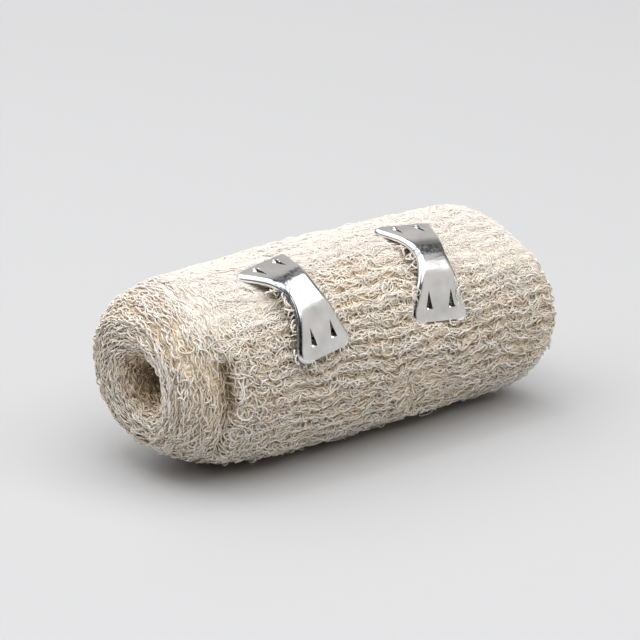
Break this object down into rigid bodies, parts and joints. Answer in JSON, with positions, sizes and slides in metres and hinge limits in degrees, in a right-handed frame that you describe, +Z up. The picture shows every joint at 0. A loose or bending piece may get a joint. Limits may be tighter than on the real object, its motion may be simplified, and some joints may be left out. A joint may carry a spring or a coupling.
{
  "type": "crepe bandage roll",
  "caption": "Crepe bandage of unbleached cotton wound into a small roll, its cut end held down by bent metal clips with teeth.",
  "frame": {"origin": "On the surface that the roll rests on, under the middle of its bounding box.", "axes": "X runs along the roll's axis, from the end whose hollow core shows to the other end. The clips are on the side of -Y and up. +Z is up."},
  "size_m": [0.08, 0.036, 0.0345],
  "materials": {
    "cotton_crepe": "unbleached crinkled cotton with a looped surface",
    "clip_metal": "bright, lightly brushed"
  },
  "bodies": {
    "root": {"roll": "cotton_crepe", "clip_left": "clip_metal", "clip_right": "clip_metal"}
  },
  "joints": []
}
